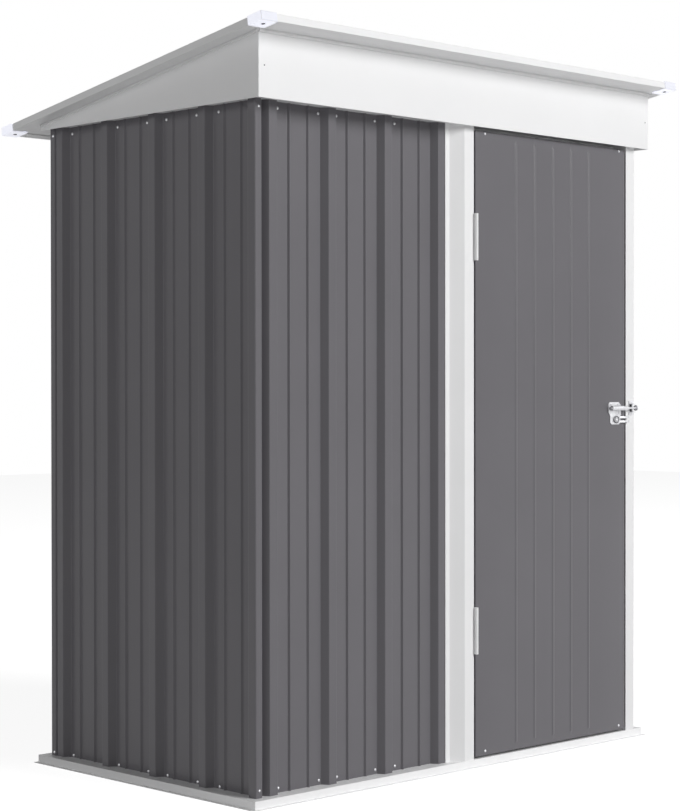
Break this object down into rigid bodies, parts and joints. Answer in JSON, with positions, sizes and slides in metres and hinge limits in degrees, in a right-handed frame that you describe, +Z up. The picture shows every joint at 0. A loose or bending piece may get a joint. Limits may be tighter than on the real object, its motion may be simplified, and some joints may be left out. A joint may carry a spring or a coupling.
{
  "type": "garden shed",
  "caption": "Lean-to metal shed with ribbed grey walls, a white frame, one hinged door with a slide bolt, and a roof that falls to the rear.",
  "frame": {"origin": "on the ground, under the middle of the roof with its corner caps", "axes": "+Z up, the door faces -Y, +X to the right seen from the front"},
  "size_m": [1.5256, 1.0184, 1.81],
  "materials": {
    "grey_sheet": "satin",
    "white_steel": "satin",
    "cap_plastic": "matte",
    "zinc": "satin"
  },
  "bodies": {
    "shed": {"base_front_rail": "white_steel", "base_rear_rail": "white_steel", "base_left_rail": "white_steel", "base_right_rail": "white_steel", "corner_post_front_left": "grey_sheet", "corner_post_rear_left": "grey_sheet", "corner_post_rear_right": "grey_sheet", "door_jamb": "white_steel", "door_corner_post": "white_steel", "front_wall": "grey_sheet", "left_wall": "grey_sheet", "right_wall": "grey_sheet", "back_wall_left": "grey_sheet", "back_wall_right": "grey_sheet", "top_rail_front": "white_steel", "top_rail_rear": "white_steel", "top_rail_left": "white_steel", "top_rail_right": "white_steel", "mid_rail_rear": "white_steel", "mid_rail_left": "white_steel", "mid_rail_right": "white_steel", "front_fascia": "white_steel", "gable_left": "white_steel", "gable_right": "white_steel", "roof_panel_left": "white_steel", "roof_panel_right": "white_steel", "roof_rafter": "white_steel", "roof_trim_front": "white_steel", "roof_trim_rear": "white_steel", "roof_trim_left": "white_steel", "roof_trim_right": "white_steel", "roof_cap_front_left": "cap_plastic", "roof_cap_front_right": "cap_plastic", "roof_cap_rear_left": "cap_plastic", "roof_cap_rear_right": "cap_plastic", "hinge_upper_fixed": "white_steel", "hinge_lower_fixed": "white_steel", "latch_keeper": "zinc"},
    "door": {"door_panel": "grey_sheet", "door_brace_top": "white_steel", "door_brace_bottom": "white_steel", "hinge_upper_moving": "white_steel", "hinge_lower_moving": "white_steel", "latch_plate": "zinc"},
    "bolt": {"latch_bolt": "zinc"}
  },
  "joints": [
    {"name": "door_hinge", "type": "hinge", "parent": "shed", "child": "door", "pos_m": [0.03, -0.43089, 0.8], "axis": [0, 0, -1], "range_deg": [0, 105]},
    {"name": "bolt_slide", "type": "slide", "parent": "door", "child": "bolt", "axis": [1, 0, 0], "range_m": [-0.034, 0]}
  ]
}
